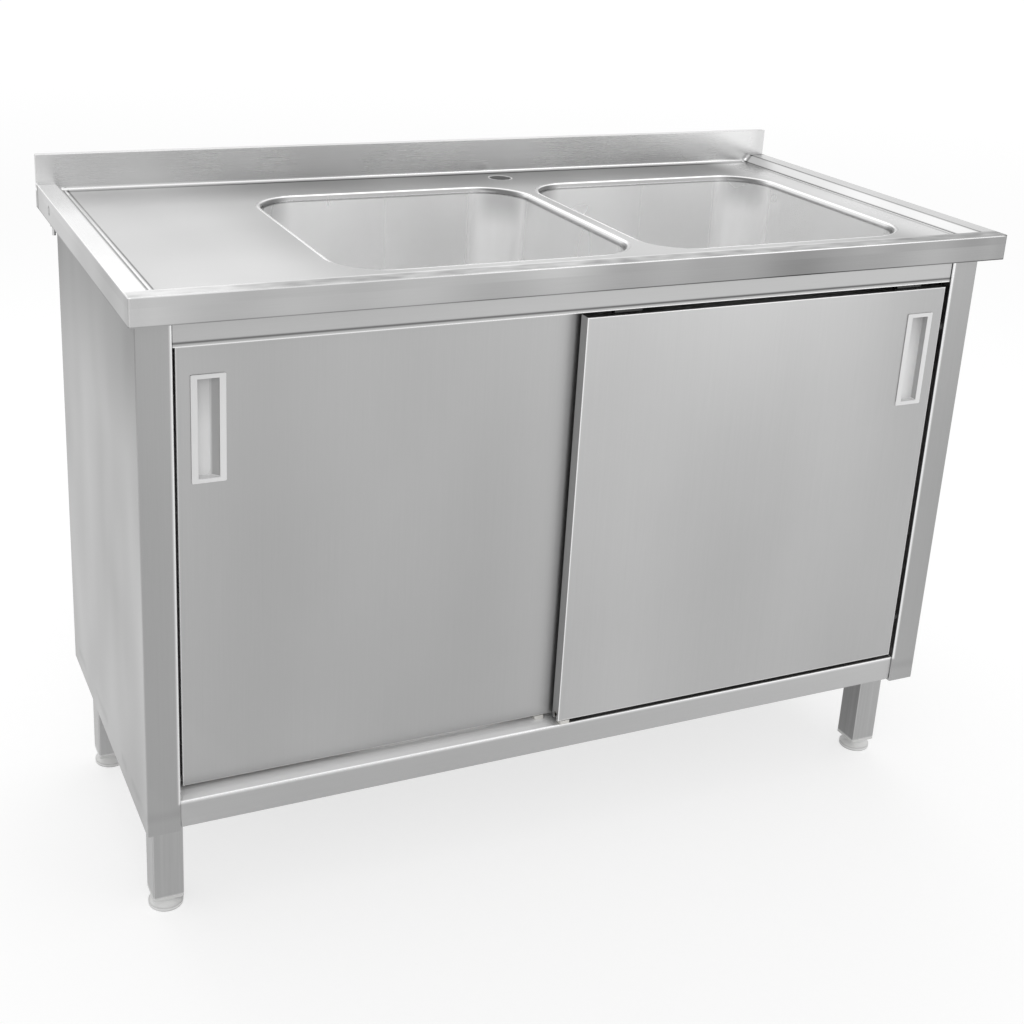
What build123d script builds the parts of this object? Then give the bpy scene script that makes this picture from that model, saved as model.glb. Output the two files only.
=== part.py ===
from build123d import *
import os
from math import hypot

# Stainless steel sink unit: two pressed bowls and a drainer in one worktop, on a floor cabinet
# with two sliding doors. Millimetres, +Z up, origin on the floor under the middle of the worktop.

# ---- Overall size
width = 1200
depth = 600
worktop_height = 850
upstand_height = 40
upstand_thickness = 12

# ---- Sheet metal and general gaps
top_sheet = 1.2
sheet = 1.0
bend = 1.2                  # inside radius of a fold
seam_gap = 0.8              # open seam between two sheets that meet end to end
running_gap = 0.3           # between surfaces that move past each other
stop_gap = 0.5              # between a moving piece and its stop at the end of its travel

# ---- Worktop
apron_height = 34
apron_hem = 10
apron_corner_radius = 4
rim_width = 26
step_run = 10
step_drop = 12
rim_bend = 2
foot_bend = 4
edge_round = 0.8
tap_hole_diameter = 33
tap_hole_round = 0.4
tap_from_upstand = 40
board_thickness = 18
board_gap = 3

# ---- Bowls
bowl_width = 400            # of the opening, from left to right
bowl_depth = 250
bowl_corner_radius = 62
bowl_draft = 1.5            # degrees
bowl_rim_radius = 7
bowl_rim_flat = 1.5
bowl_floor_radius = 28
bowl_land = 13              # worktop left between the two bowl rims
bowl_front_margin = 78
bowl_rear_margin = 105
bowl_right_margin = 85

# ---- Wastes
seat_radius = 42
seat_depth = 3
waste_hole_radius = 26
waste_flange_radius = 38
waste_flange_thickness = 2
waste_neck_radius = 18.5
waste_neck_length = 8
waste_slots = 10
waste_slot_radius = 2.6
waste_slot_circle = 12
gasket_thickness = 3
tail_radius = 23.9
tail_bore_radius = 21
tail_ledge_radius = 19
tail_flange_radius = 40
tail_flange_thickness = 5
tail_length = 60
waste_bar_height = 8
waste_bar_width = 8
waste_bar_gap = 0.3
waste_screw_radius = 3
waste_screw_head_radius = 5.5
waste_screw_head_height = 2.4

# ---- Cabinet
side_inset = 13
front_inset = 35
rear_inset = 85
cabinet_bottom = 150
post_width = 42
post_depth = 43
top_flange = 37
bottom_flange = 12
rear_flange = 20
shelf_height = 190
shelf_recess = 3            # shelf lip and top rail lie this far behind the post faces
shelf_lip_height = 38
shelf_lip_return = 12
shelf_flange = 28
stiffener_height = 30
stiffener_width = 60
stiffener_foot = 15
stiffener_offset = 110
front_rail_height = 59
front_rail_depth = 40
rear_rail_height = 40
rear_rail_depth = 17
service_gap = 260            # between the two back sheets, for the water and waste pipes

# ---- Doors
door_thickness = 17
door_bottom_gap = 7
door_head_gap = 6           # from a door's top to the front rail's lower edge
door_overlap = 48           # of the two closed doors
door_reveal = 32            # of the hindmost door, beside the other one, when it is open
door_face_recess = 0.5
door_pitch = 23.5           # from one door's face to the other's
door_edge_round = 1.2
right_door_gap = 8
left_door_gap = 8
groove_width = 7
groove_height = 10

# ---- Door pulls
pull_width = 42
pull_height = 134
pull_flange = 1.5
pull_body_width = 38
pull_body_height = 129
pull_body_depth = 12
pull_mouth_width = 26
pull_mouth_height = 123
pull_recess_depth = 10
pull_ramp_run = 9.3
pull_ramp_lip = 1
pull_from_edge = 38
pull_from_top = 102
pull_corner_radius = 2
pull_fit = 0.2

# ---- Door tracks, hangers and rollers
track_sheet = 1.5
track_trough = 10
track_lip_height = 4
track_flange = 14
track_above_door = 20
hanger_from_edge = 60
hanger_width = 40
hanger_sheet = 2
hanger_track_gap = 1
hanger_top = 8
hanger_foot = 10
roller_radius = 11
roller_width = 7
roller_chamfer = 0.6
axle_radius = 2.5
axle_fit = 0.06
axle_collar_radius = 4
axle_head_thickness = 0.8
stop_length = 12
stop_height = 14
screw_radius = 2
screw_hole_radius = 2.2
screw_head_radius = 3.8
screw_head_height = 2.2
screw_length = 10
track_screw_count = 4

# ---- Door guides and buffers
right_guide_from_end = 12
left_guide_from_end = 64
guide_length = 14
guide_base_width = 14
guide_base_height = 5.5
guide_fin_width = 4
guide_fin_length = 12
guide_fin_height = 13
buffer_radius = 5
buffer_low = 60
buffer_high = 515

# ---- Legs and feet
leg_size = 40
leg_wall = 1.5
leg_corner_radius = 3
leg_side_inset = 15
leg_end_inset = 45
leg_bottom = 21
leg_plate = 64
leg_plate_thickness = 3
leg_bolt_radius = 3
leg_bolt_hole_radius = 3.2
leg_bolt_head_radius = 5.4
leg_bolt_head_height = 4
cap_nut_height = 5
insert_flange = 4
insert_depth = 30
insert_fit = 0.3
insert_bore_fit = 0.1
foot_radius = 22.5
foot_rim_height = 5
foot_neck_radius = 10
foot_height = 13
foot_stem_radius = 5
foot_stem_top = 60
foot_edge_round = 1.2

# ---- Bonding stud under the left apron
stud_radius = 2.5
stud_length = 16
stud_nut_size = 8           # across flats
stud_nut_height = 4
stud_from_rear = 109

# ---- Places worked out from the sizes above
half_width = width / 2
front = -depth / 2
rear = depth / 2
surface_top = worktop_height - step_drop
surface_bottom = surface_top - top_sheet
worktop_top = worktop_height + upstand_height
apron_bottom = worktop_height - apron_height
upstand_face = rear - upstand_thickness

bowl_rim = bowl_rim_radius + bowl_rim_flat
bowl_flange_x = bowl_width + 2 * bowl_rim
bowl_flange_y = depth - bowl_front_margin - bowl_rear_margin
bowl_flange_corner = bowl_corner_radius + bowl_rim
bowl_right_x = half_width - bowl_right_margin - bowl_flange_x / 2
bowl_left_x = bowl_right_x - bowl_flange_x - bowl_land
bowl_y = front + bowl_front_margin + bowl_flange_y / 2
bowl_floor = surface_top - bowl_depth
seat_top = bowl_floor - seat_depth
seat_bottom = seat_top - top_sheet
tap_x = (bowl_left_x + bowl_right_x) / 2
tap_y = upstand_face - tap_from_upstand

case_x = half_width - side_inset
case_front = front + front_inset
case_rear = rear - rear_inset
post_inner_x = case_x - post_width
post_rear = case_front + post_depth
recessed_face = case_front + shelf_recess
back_face = case_rear - sheet
shelf_bottom = shelf_height - sheet
lip_bottom = shelf_height - shelf_lip_height
front_rail_rear = recessed_face + front_rail_depth
rail_web_bottom = surface_bottom - sheet

door_bottom = shelf_height + door_bottom_gap
door_top = surface_bottom - front_rail_height - door_head_gap
door_width = post_inner_x + (door_overlap - right_door_gap - left_door_gap) / 2
door_travel = door_width - door_overlap - door_reveal
right_door_face = case_front + door_face_recess
left_door_face = right_door_face + door_pitch
right_door_x1 = post_inner_x - right_door_gap
right_door_x0 = right_door_x1 - door_width
left_door_x0 = -post_inner_x + left_door_gap
left_door_x1 = left_door_x0 + door_width
right_guide_x = right_door_x0 + right_guide_from_end
left_guide_x = left_door_x1 - left_guide_from_end

hanger_set_back = 14.5      # from a door's face to its rollers' middle
track_floor_height = door_top + track_above_door
axle_z = track_floor_height + running_gap + roller_radius
trough_half = track_trough / 2
hanger_front = trough_half + track_sheet + hanger_track_gap + hanger_sheet

leg_x = case_x - leg_side_inset - leg_size / 2
leg_front_y = case_front + leg_end_inset + leg_size / 2
leg_rear_y = case_rear - leg_end_inset - leg_size / 2
plate_bottom = shelf_bottom - leg_plate_thickness


# ---- Shapes used by several pieces

def block(x0, x1, y0, y1, z0, z1):
    """A box given by its six faces."""
    return Pos((x0 + x1) / 2, (y0 + y1) / 2, (z0 + z1) / 2) * Box(x1 - x0, y1 - y0, z1 - z0)


def rod(point, direction, radius, length):
    """A round bar from a point along a direction."""
    return Plane(origin=point, z_dir=direction) * extrude(Circle(radius), length)


def upright(x, y, z0, z1, radius):
    """A vertical round bar between two heights."""
    return rod((x, y, z0), (0, 0, 1), radius, z1 - z0)


def crosswise(x, z, y0, y1, radius):
    """A round bar along Y between two places."""
    return rod((x, y0, z), (0, 1, 0), radius, y1 - y0)


def moved_line(points, distance):
    """A polyline moved to its left by a distance, with mitred corners."""
    normals = []
    for start, end in zip(points, points[1:]):
        length = hypot(end[0] - start[0], end[1] - start[1])
        normals.append(((start[1] - end[1]) / length, (end[0] - start[0]) / length))
    moved = [(points[0][0] + distance * normals[0][0], points[0][1] + distance * normals[0][1])]
    for point, a, b in zip(points[1:-1], normals, normals[1:]):
        mitre = distance / (1 + a[0] * b[0] + a[1] * b[1])
        moved.append((point[0] + mitre * (a[0] + b[0]), point[1] + mitre * (a[1] + b[1])))
    last = points[-1]
    moved.append((last[0] + distance * normals[-1][0], last[1] + distance * normals[-1][1]))
    return moved


def turns_left(points):
    """For each inner corner of a polyline, whether it turns left."""
    corners = zip(points, points[1:], points[2:])
    return [(b[0] - a[0]) * (c[1] - b[1]) > (b[1] - a[1]) * (c[0] - b[0]) for a, b, c in corners]


def folded_section(points, thickness, inside=bend):
    """Section of a folded sheet: points run along one face, and the sheet lies to their left."""
    lefts = turns_left(points)
    face_radii = [inside + thickness if left else inside for left in lefts]
    other_radii = [inside if left else inside + thickness for left in lefts]
    other = moved_line(points, thickness)[::-1]
    if lefts:
        near = FilletPolyline(*points, radius=face_radii)
        far = FilletPolyline(*other, radius=other_radii[::-1])
    else:
        near = Line(*points)
        far = Line(*other)
    ends = Line(points[-1], other[0]) + Line(other[-1], points[0])
    return make_face(near + far + ends)


def along_z(section, z0, z1):
    """A section in X and Y drawn up between two heights."""
    return Pos(0, 0, z0) * extrude(section, z1 - z0)


def along_x(section, x0, x1):
    """A section in Y and Z drawn sideways between two places."""
    plane = Plane(origin=(x0, 0, 0), x_dir=(0, 1, 0), z_dir=(1, 0, 0))
    return plane * extrude(section, x1 - x0)


def rounded_prism(x, y, size_x, size_y, radius, z0, z1):
    """An upright prism with a round-cornered plan."""
    return Pos(x, y, z0) * extrude(RectangleRounded(size_x, size_y, radius), z1 - z0)


def pan_screw(point, direction, length=screw_length):
    """A screw whose head seats at a point; direction runs from the head into the work."""
    back = tuple(-value for value in direction)
    head = rod(point, back, screw_head_radius, screw_head_height)
    rim = head.faces().sort_by(Axis(point, back))[-1].edges()
    return fillet(rim, screw_head_height / 2) + rod(point, direction, screw_radius, length)


def edges_at(shape, height):
    """The level edges of a shape at one height."""
    level = []
    for edge in shape.edges():
        ends = [vertex.Z for vertex in edge.vertices()] + [edge.center().Z]
        if all(abs(value - height) < 0.01 for value in ends):
            level.append(edge)
    return level


# ---- Worktop

def worktop_void(grow):
    """The space over the worktop: above the rim, in the sunken surface and before the upstand."""
    level = worktop_height - grow
    floor = surface_top - grow
    sideways = grow * hypot(step_run, step_drop) / step_drop
    rear_face = upstand_face + grow
    mouth_x = half_width - rim_width + sideways
    mouth_y = front + rim_width - sideways
    inward = step_run * (step_drop + grow) / step_drop
    across = Polyline((-mouth_x, worktop_height), (inward - mouth_x, floor), (mouth_x - inward, floor),
                      (mouth_x, worktop_height), close=True)
    along = Polyline((mouth_y, worktop_height), (mouth_y + inward, floor), (rear_face, floor),
                     (rear_face, worktop_height), close=True)
    plane = Plane(origin=(0, front, 0), x_dir=(1, 0, 0), z_dir=(0, -1, 0))
    recess = plane * extrude(make_face(across), -depth)
    recess &= along_x(make_face(along), -half_width, half_width)
    recess = fillet(edges_at(recess, floor), foot_bend + grow)
    over = 2 * rim_width
    air = block(-half_width - over, half_width + over, front - over, rear_face, level, worktop_top + over)
    void = recess + air
    mouth = [e for e in edges_at(void, level) if abs(e.center().X) < half_width
             and front < e.center().Y < rear_face - rim_width]
    return fillet(mouth, rim_bend - grow)


def make_worktop():
    """One folded sheet: apron with a hem, flat rim, sunken surface, boxed upstand."""
    outer = block(-half_width, half_width, front, rear, apron_bottom, worktop_top)
    outer = fillet(outer.edges().filter_by(Axis.Z), apron_corner_radius)
    inner = block(-half_width + top_sheet, half_width - top_sheet, front + top_sheet, rear - top_sheet,
                  apron_bottom + top_sheet, worktop_top - top_sheet)
    inner = fillet(inner.edges().filter_by(Axis.Z), apron_corner_radius - top_sheet)
    hollow = inner - worktop_void(top_sheet)
    mouth = block(-half_width + apron_hem, half_width - apron_hem, front + apron_hem, rear - apron_hem,
                  apron_bottom - top_sheet, apron_bottom + top_sheet)
    top = outer - worktop_void(0) - hollow - mouth
    rims = [e for e in edges_at(top, worktop_height) if e.center().Y < front + edge_round
            or abs(e.center().X) > half_width - apron_corner_radius]
    top = fillet(rims + edges_at(top, worktop_top), edge_round)
    for x in (bowl_left_x, bowl_right_x):
        top -= rounded_prism(x, bowl_y, bowl_flange_x, bowl_flange_y, bowl_flange_corner,
                             surface_bottom - step_drop, worktop_height)
    top -= upright(tap_x, tap_y, surface_bottom - 1, worktop_height, tap_hole_diameter / 2)
    hole_rim = [e for e in edges_at(top, surface_top) if e.geom_type == GeomType.CIRCLE
                and abs(e.radius - tap_hole_diameter / 2) < 0.01]
    return fillet(hole_rim, tap_hole_round)


def bowl_void(grow):
    """The space in a bowl and above its rim, with its middle over the origin."""
    level = surface_top - grow
    size_x = bowl_width + 2 * grow
    size_y = bowl_flange_y - 2 * bowl_rim + 2 * grow
    plan = Pos(0, 0, surface_top) * RectangleRounded(size_x, size_y, bowl_corner_radius + grow)
    well = extrude(plan, amount=bowl_depth + grow, dir=(0, 0, -1), taper=bowl_draft)
    well = fillet(edges_at(well, bowl_floor - grow), bowl_floor_radius + grow)
    void = well + block(-bowl_flange_x, bowl_flange_x, -bowl_flange_y, bowl_flange_y, level,
                        worktop_height)
    mouth = [e for e in edges_at(void, level) if abs(e.center().X) < bowl_flange_x / 2
             and abs(e.center().Y) < bowl_flange_y / 2]
    void = fillet(mouth, bowl_rim_radius - grow)
    return void + upright(0, 0, seat_top - grow, bowl_floor, seat_radius + grow)


def make_bowl(x):
    """A pressed bowl with a rolled rim and a seat for its waste."""
    shell = bowl_void(top_sheet) - bowl_void(0)
    shell &= rounded_prism(0, 0, bowl_flange_x, bowl_flange_y, bowl_flange_corner, seat_bottom,
                           surface_top)
    shell -= upright(0, 0, seat_bottom - 1, bowl_floor, waste_hole_radius)
    return Pos(x, bowl_y, 0) * shell


def make_board():
    """The sound-deadening board glued under the drainer."""
    x0 = -case_x + top_flange + board_gap
    x1 = bowl_left_x - bowl_flange_x / 2 - board_gap
    y0 = front_rail_rear + board_gap
    y1 = back_face - sheet - rear_rail_depth - board_gap
    return block(x0, x1, y0, y1, surface_bottom - board_thickness, surface_bottom)


# ---- Wastes

def make_waste_flange():
    """The strainer that sits in the bowl's seat."""
    top = seat_top + waste_flange_thickness
    flange = upright(0, 0, seat_top, top, waste_flange_radius)
    flange = fillet(flange.edges().sort_by(Axis.Z)[-1], waste_flange_thickness * 0.6)
    flange += upright(0, 0, seat_top - waste_neck_length, seat_top, waste_neck_radius)
    flange -= upright(0, 0, seat_top - waste_neck_length, seat_top, waste_neck_radius - top_sheet)
    for spot in PolarLocations(waste_slot_circle, waste_slots):
        flange -= spot * upright(0, 0, seat_top - 1, top + 1, waste_slot_radius)
    return flange - upright(0, 0, seat_top - 1, top + 1, waste_screw_radius)


def make_waste_gasket():
    """The rubber ring between bowl and tail."""
    low = seat_bottom - gasket_thickness
    ring = upright(0, 0, low, seat_bottom, waste_flange_radius)
    return ring - upright(0, 0, low, seat_bottom, waste_hole_radius)


def make_waste_tail():
    """The threaded tail below the bowl; the clamping bar bears on a ledge inside it."""
    top = seat_bottom - gasket_thickness
    ledge = top - tail_flange_thickness
    tail = upright(0, 0, ledge, top, tail_flange_radius)
    tail += upright(0, 0, top - tail_length, top, tail_radius)
    tail -= upright(0, 0, top - tail_length, ledge, tail_bore_radius)
    return tail - upright(0, 0, ledge, top, tail_ledge_radius)


def make_waste_screw():
    """The screw that draws the strainer down, with the clamping bar that it pulls up."""
    top = seat_top + waste_flange_thickness
    ledge = seat_bottom - gasket_thickness - tail_flange_thickness
    low = ledge - waste_bar_height
    head = upright(0, 0, top, top + waste_screw_head_height, waste_screw_head_radius)
    head = fillet(head.edges().sort_by(Axis.Z)[-1], waste_screw_head_height * 0.6)
    slot = 0.6
    head -= block(-waste_screw_head_radius, waste_screw_head_radius, -slot, slot,
                  top + waste_screw_head_height / 2, top + waste_screw_head_height)
    half = waste_bar_width / 2
    bar = block(-tail_radius, tail_radius, -half, half, low, ledge)
    bar &= upright(0, 0, low, ledge, tail_bore_radius - waste_bar_gap)
    return head + upright(0, 0, low, top, waste_screw_radius) + bar


# ---- Cabinet

def make_side_panel(side):
    """A side sheet folded round its front corner post; side is 1 on the right, -1 on the left."""
    line = [(case_x - rear_flange, case_rear), (case_x, case_rear), (case_x, case_front),
            (post_inner_x, case_front), (post_inner_x, post_rear)]
    panel = along_z(folded_section(line[::-1], sheet), cabinet_bottom, surface_bottom)
    inner = case_x - sheet
    panel += block(case_x - top_flange, inner, post_rear + bend, back_face, rail_web_bottom, surface_bottom)
    panel += block(case_x - bottom_flange, inner, case_front + sheet, back_face,
                   cabinet_bottom, cabinet_bottom + sheet)
    return panel if side > 0 else mirror(panel, about=Plane.YZ)


def make_back_panel(side):
    """One of the two back sheets; side is 1 on the right, -1 on the left."""
    outer = case_x - sheet - bend
    panel = block(service_gap / 2, outer, back_face - sheet, back_face, lip_bottom, rail_web_bottom)
    return panel if side > 0 else mirror(panel, about=Plane.YZ)


def leg_places():
    """Name, X and Y of each leg, and the ways inwards along X and along Y."""
    places = []
    for end, y, inward_y in (("front", leg_front_y, 1), ("rear", leg_rear_y, -1)):
        for side, x, inward_x in (("left", -leg_x, 1), ("right", leg_x, -1)):
            places.append((f"{end}_{side}", x, y, inward_x, inward_y))
    return places


def leg_bolt_places():
    """X and Y of every leg bolt: three on each plate, round the leg's inner corner."""
    offset = leg_plate / 2
    return [(x + a * inward_x * offset, y + b * inward_y * offset)
            for _, x, y, inward_x, inward_y in leg_places() for a, b in ((1, 0), (1, 1), (0, 1))]


def door_places():
    """Name, X span, face, outer side and guide place of each door."""
    return [("left", left_door_x0, left_door_x1, left_door_face, -1, left_guide_x),
            ("right", right_door_x0, right_door_x1, right_door_face, 1, right_guide_x)]


def guide_y(face):
    """The middle of a door's bottom groove."""
    return face + door_thickness / 2


def make_shelf():
    """The cabinet floor: front lip between the posts, flanges down on the other sides."""
    lip_x = post_inner_x - seam_gap
    inner = case_x - sheet
    rear_face = back_face - sheet
    lip = [(recessed_face + shelf_lip_return, lip_bottom), (recessed_face, lip_bottom),
           (recessed_face, shelf_height), (rear_face, shelf_height),
           (rear_face, shelf_height - shelf_flange)]
    middle = along_x(folded_section(lip[::-1], sheet), -lip_x, lip_x)
    side_front = post_rear + bend
    side_rear = rear_face - bend
    shelf = middle + block(-inner, inner, side_front, side_rear, shelf_bottom, shelf_height)
    for x0, x1 in ((-inner, -inner + sheet), (inner - sheet, inner)):
        shelf += block(x0, x1, side_front, side_rear, shelf_height - shelf_flange, shelf_height)
    for x, y in leg_bolt_places():
        shelf -= upright(x, y, shelf_bottom - 1, shelf_height + 1, leg_bolt_hole_radius)
    for _, _, _, face, _, x in door_places():
        shelf -= upright(x, guide_y(face), shelf_bottom - 1, shelf_height + 1, screw_hole_radius)
    return shelf


def make_stiffeners():
    """Two top-hat profiles under the shelf."""
    half = stiffener_width / 2
    top = shelf_bottom - sheet
    low = shelf_bottom - stiffener_height
    reach = leg_x + leg_size / 2 - leg_plate - seam_gap
    profiles = []
    for offset in (-stiffener_offset, stiffener_offset):
        y = (leg_front_y + leg_rear_y) / 2 + offset
        line = [(y - half - stiffener_foot, top), (y - half, top), (y - half, low),
                (y + half, low), (y + half, top), (y + half + stiffener_foot, top)]
        profiles.append(along_x(folded_section(line, sheet), -reach, reach))
    return Compound(profiles)


def track_middles():
    """Side name and the rollers' middle in Y for each track."""
    return [(name, face + hanger_set_back) for name, _, _, face, _, _ in door_places()]


def track_screw_places(middle):
    """X and Y of the screws that hold one track."""
    pitch = 2 * (post_inner_x - 2 * hanger_width) / (track_screw_count - 1)
    first = -post_inner_x + 2 * hanger_width
    return [(first + i * pitch, middle - track_sheet) for i in range(track_screw_count)]


def make_front_rail():
    """The angle over the doors: its face shows below the apron, its web carries both tracks."""
    reach = post_inner_x - seam_gap
    line = [(front_rail_rear, surface_bottom), (recessed_face, surface_bottom),
            (recessed_face, surface_bottom - front_rail_height)]
    rail = along_x(folded_section(line, sheet), -reach, reach)
    for _, middle in track_middles():
        for x, y in track_screw_places(middle):
            rail -= upright(x, y, rail_web_bottom - 1, surface_bottom + 1, screw_hole_radius)
    return rail


def make_rear_rail():
    """The channel that carries the worktop along the back."""
    reach = case_x - top_flange - seam_gap
    face = back_face - sheet
    low = surface_bottom - rear_rail_height
    line = [(face - rear_rail_depth, surface_bottom), (face, surface_bottom),
            (face, low), (face - rear_rail_depth, low)]
    return along_x(folded_section(line[::-1], sheet), -reach, reach)


def make_track(middle):
    """A door track: flange under the rail, web, and a trough that the rollers run in."""
    reach = post_inner_x - 2 * seam_gap
    top = rail_web_bottom - track_sheet
    low = track_floor_height
    line = [(middle + trough_half - track_flange + track_sheet, top), (middle + trough_half, top),
            (middle + trough_half, low), (middle - trough_half, low),
            (middle - trough_half, low + track_lip_height)]
    track = along_x(folded_section(line, track_sheet, running_gap), -reach, reach)
    for x, y in track_screw_places(middle):
        track -= upright(x, y, top - 1, rail_web_bottom + 1, screw_hole_radius)
    return track


def make_track_screws():
    """The screws that hold the tracks to the rail."""
    head = rail_web_bottom - track_sheet
    return Compound([pan_screw((x, y, head), (0, 0, 1), track_sheet + sheet)
                     for _, middle in track_middles() for x, y in track_screw_places(middle)])


def make_track_stops():
    """Rubber blocks in the tracks that end each door's travel."""
    stops = []
    for (name, x0, x1, _, side, _), (_, middle) in zip(door_places(), track_middles()):
        inner_roller = x1 - hanger_from_edge if side < 0 else x0 + hanger_from_edge
        near = inner_roller - side * (door_travel + roller_radius + stop_gap)
        far = near - side * stop_length
        stop = block(min(near, far), max(near, far), middle - trough_half, middle + trough_half,
                     track_floor_height, track_floor_height + stop_height)
        low_edges = edges_at(stop, track_floor_height)
        stops.append(chamfer([e for e in low_edges if abs(e.center().Y - middle) > 1], running_gap))
    return Compound(stops)


def make_buffers():
    """Rubber buffers on the posts that the closed doors rest against."""
    buffers = []
    for _, x0, x1, face, side, _ in door_places():
        near = x1 + stop_gap if side > 0 else x0 - stop_gap
        length = post_inner_x - abs(near)
        for height in (buffer_low, buffer_high):
            point = (side * post_inner_x, guide_y(face), door_bottom + height)
            buffers.append(rod(point, (-side, 0, 0), buffer_radius, length))
    return Compound(buffers)


def make_guide(x, face):
    """A guide on the shelf whose fin runs in a door's bottom groove."""
    y = guide_y(face)
    half = guide_length / 2
    base = block(x - half, x + half, y - guide_base_width / 2, y + guide_base_width / 2,
                 shelf_height, shelf_height + guide_base_height)
    fin = block(x - guide_fin_length / 2, x + guide_fin_length / 2, y - guide_fin_width / 2,
                y + guide_fin_width / 2, shelf_height, shelf_height + guide_fin_height)
    guide = fillet(base.edges().filter_by(Axis.Z), bend) + fin
    return guide - upright(x, y, shelf_height, shelf_height + screw_length, screw_radius)


def make_guide_screws():
    """The screws that hold the guides from below."""
    return Compound([pan_screw((x, guide_y(face), shelf_bottom), (0, 0, 1))
                     for _, _, _, face, _, x in door_places()])


def make_bonding_stud():
    """The stud and nut under the left apron for the bonding wire."""
    x = -half_width + apron_hem / 2 + sheet / 2
    y = rear - stud_from_rear
    stud = upright(x, y, apron_bottom - stud_length, apron_bottom, stud_radius)
    nut = Pos(x, y, apron_bottom - stud_nut_height) * extrude(
        RegularPolygon(stud_nut_size / 2, 6, major_radius=False), stud_nut_height)
    return stud + nut


# ---- Doors

def make_door_front(x0, x1, face, side):
    """A door's outer pan, with a cut-out for its pull."""
    y1 = face + door_thickness
    pan = block(x0, x1, face, y1, door_bottom, door_top)
    front_edges = [e for e in pan.edges() if abs(e.center().Y - face) < 0.01]
    pan = fillet(front_edges, door_edge_round)
    pan -= block(x0 + sheet, x1 - sheet, face + sheet, y1, door_bottom + sheet, door_top - sheet)
    lip = (door_thickness - groove_width) / 2
    pan -= block(x0 + sheet, x1 - sheet, face + lip, y1, door_bottom, door_bottom + sheet)
    middle = guide_y(face)
    pan -= block(x0, x1, middle - groove_width / 2, middle + groove_width / 2, door_bottom,
                 door_bottom + groove_height)
    pan -= pull_cutter(x0, x1, face, side)
    for x, y in hanger_screw_places(x0, x1, face):
        pan -= upright(x, y, door_top - 2 * sheet, door_top + sheet, screw_hole_radius)
    return pan


def make_door_back(x0, x1, face):
    """A door's inner sheet, folded forwards under the core."""
    y1 = face + door_thickness
    low = door_bottom
    panel = block(x0 + sheet, x1 - sheet, y1 - sheet, y1, low, door_top - sheet)
    lip = (door_thickness - groove_width) / 2
    return panel + block(x0 + sheet, x1 - sheet, y1 - lip, y1, low, low + sheet)


def make_door_core(x0, x1, face, side):
    """The stiffening board inside a door."""
    y1 = face + door_thickness - sheet
    core = block(x0 + sheet, x1 - sheet, face + sheet, y1, door_bottom + groove_height, door_top - sheet)
    core -= pull_cutter(x0, x1, face, side)
    for x, y in hanger_screw_places(x0, x1, face):
        core -= upright(x, y, door_top - 2 * screw_length, door_top, screw_radius)
    return core


def pull_middle(x0, x1, side):
    """X of a pull's middle."""
    return x1 - pull_from_edge if side > 0 else x0 + pull_from_edge


def pull_cutter(x0, x1, face, side):
    """The space that a pull's body needs in its door."""
    x = pull_middle(x0, x1, side)
    z = door_top - pull_from_top
    half_x = pull_body_width / 2 + pull_fit
    half_z = pull_body_height / 2 + pull_fit
    depth_in = pull_body_depth + pull_fit
    return block(x - half_x, x + half_x, face - sheet, face + depth_in, z - half_z, z + half_z)


def make_pull(x0, x1, face, side):
    """A flush pull: a frame on the door's face and a recess with a ramp on its inner side."""
    z = door_top - pull_from_top
    frame = block(-pull_width / 2, pull_width / 2, -pull_flange, 0, -pull_height / 2, pull_height / 2)
    frame = fillet(frame.edges().filter_by(Axis.Y), pull_corner_radius)
    outer_edges = frame.faces().sort_by(Axis.Y)[0].edges()
    frame = fillet(outer_edges, pull_flange / 2)
    body = block(-pull_body_width / 2, pull_body_width / 2, 0, pull_body_depth,
                 -pull_body_height / 2, pull_body_height / 2)
    half = pull_mouth_width / 2
    outside = -2 * pull_flange
    recess = Polyline((-half, outside), (-half, pull_ramp_lip), (pull_ramp_run - half, pull_recess_depth),
                      (half, pull_recess_depth), (half, outside), close=True)
    hollow = along_z(make_face(recess), -pull_mouth_height / 2, pull_mouth_height / 2)
    pull = frame + body - hollow
    pull = pull if side > 0 else mirror(pull, about=Plane.YZ)
    return Pos(pull_middle(x0, x1, side), face, z) * pull


def hanger_places(x0, x1):
    """X of a door's two hangers."""
    return (x0 + hanger_from_edge, x1 - hanger_from_edge)


def hanger_screw_places(x0, x1, face):
    """X and Y of the screws through a door's hanger feet."""
    y = face + hanger_set_back - hanger_front + hanger_foot * 0.6
    offset = hanger_width / 3
    return [(x + sign * offset, y) for x in hanger_places(x0, x1) for sign in (-1, 1)]


def make_hangers(x0, x1, face):
    """The two brackets that stand on a door and carry its axles."""
    middle = face + hanger_set_back
    y0 = middle - hanger_front
    hangers = []
    for x in hanger_places(x0, x1):
        line = [(y0 + hanger_foot, door_top), (y0, door_top), (y0, axle_z + hanger_top)]
        hanger = along_x(folded_section(line[::-1], hanger_sheet, running_gap),
                         x - hanger_width / 2, x + hanger_width / 2)
        hanger -= crosswise(x, axle_z, y0 - 1, y0 + hanger_sheet + 1, axle_radius)
        for screw_x, screw_y in hanger_screw_places(x0, x1, face):
            hanger -= upright(screw_x, screw_y, door_top - 1, door_top + hanger_sheet + 1, screw_hole_radius)
        hangers.append(hanger)
    return Compound(hangers)


def make_hanger_screws(x0, x1, face):
    """The screws that hold the brackets to a door."""
    return Compound([pan_screw((x, y, door_top + hanger_sheet), (0, 0, -1))
                     for x, y in hanger_screw_places(x0, x1, face)])


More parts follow.
